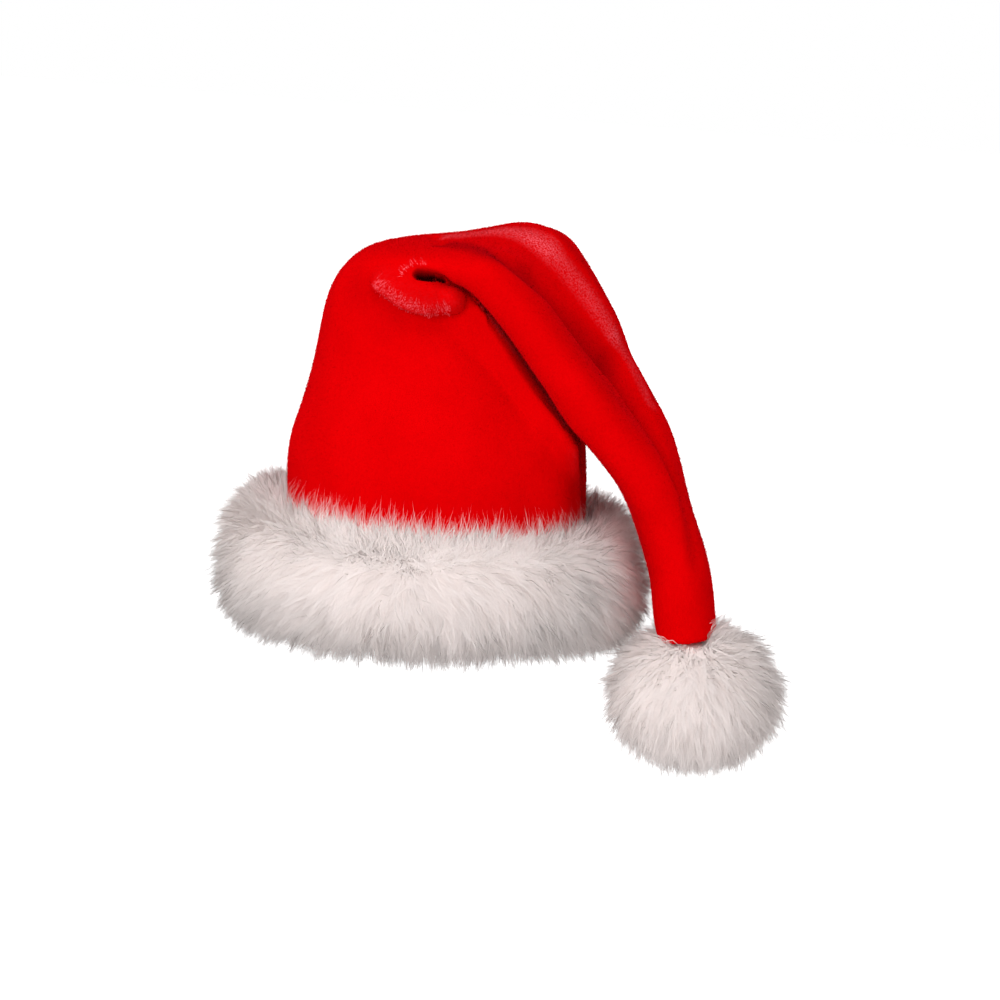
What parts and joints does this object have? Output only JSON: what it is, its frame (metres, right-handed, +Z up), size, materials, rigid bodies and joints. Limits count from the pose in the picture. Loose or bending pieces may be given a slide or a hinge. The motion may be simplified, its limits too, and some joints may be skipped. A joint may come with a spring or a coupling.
{
  "type": "santa hat",
  "caption": "Red plush santa hat with a long folded tail, a deep white fur cuff and a white fur pompom.",
  "frame": {"origin": "middle of the head opening, in the plane of the plush rim", "axes": "+Z up from the rim to the crown, -Y the way the wearer faces, +X the side that the tail falls to"},
  "size_m": [0.3361, 0.2805, 0.3096],
  "materials": {
    "red_plush": "short velvety pile",
    "white_fur": "long soft fur"
  },
  "bodies": {
    "root": {"crown": "red_plush", "fur_cuff": "white_fur", "pompom": "white_fur"}
  },
  "joints": []
}
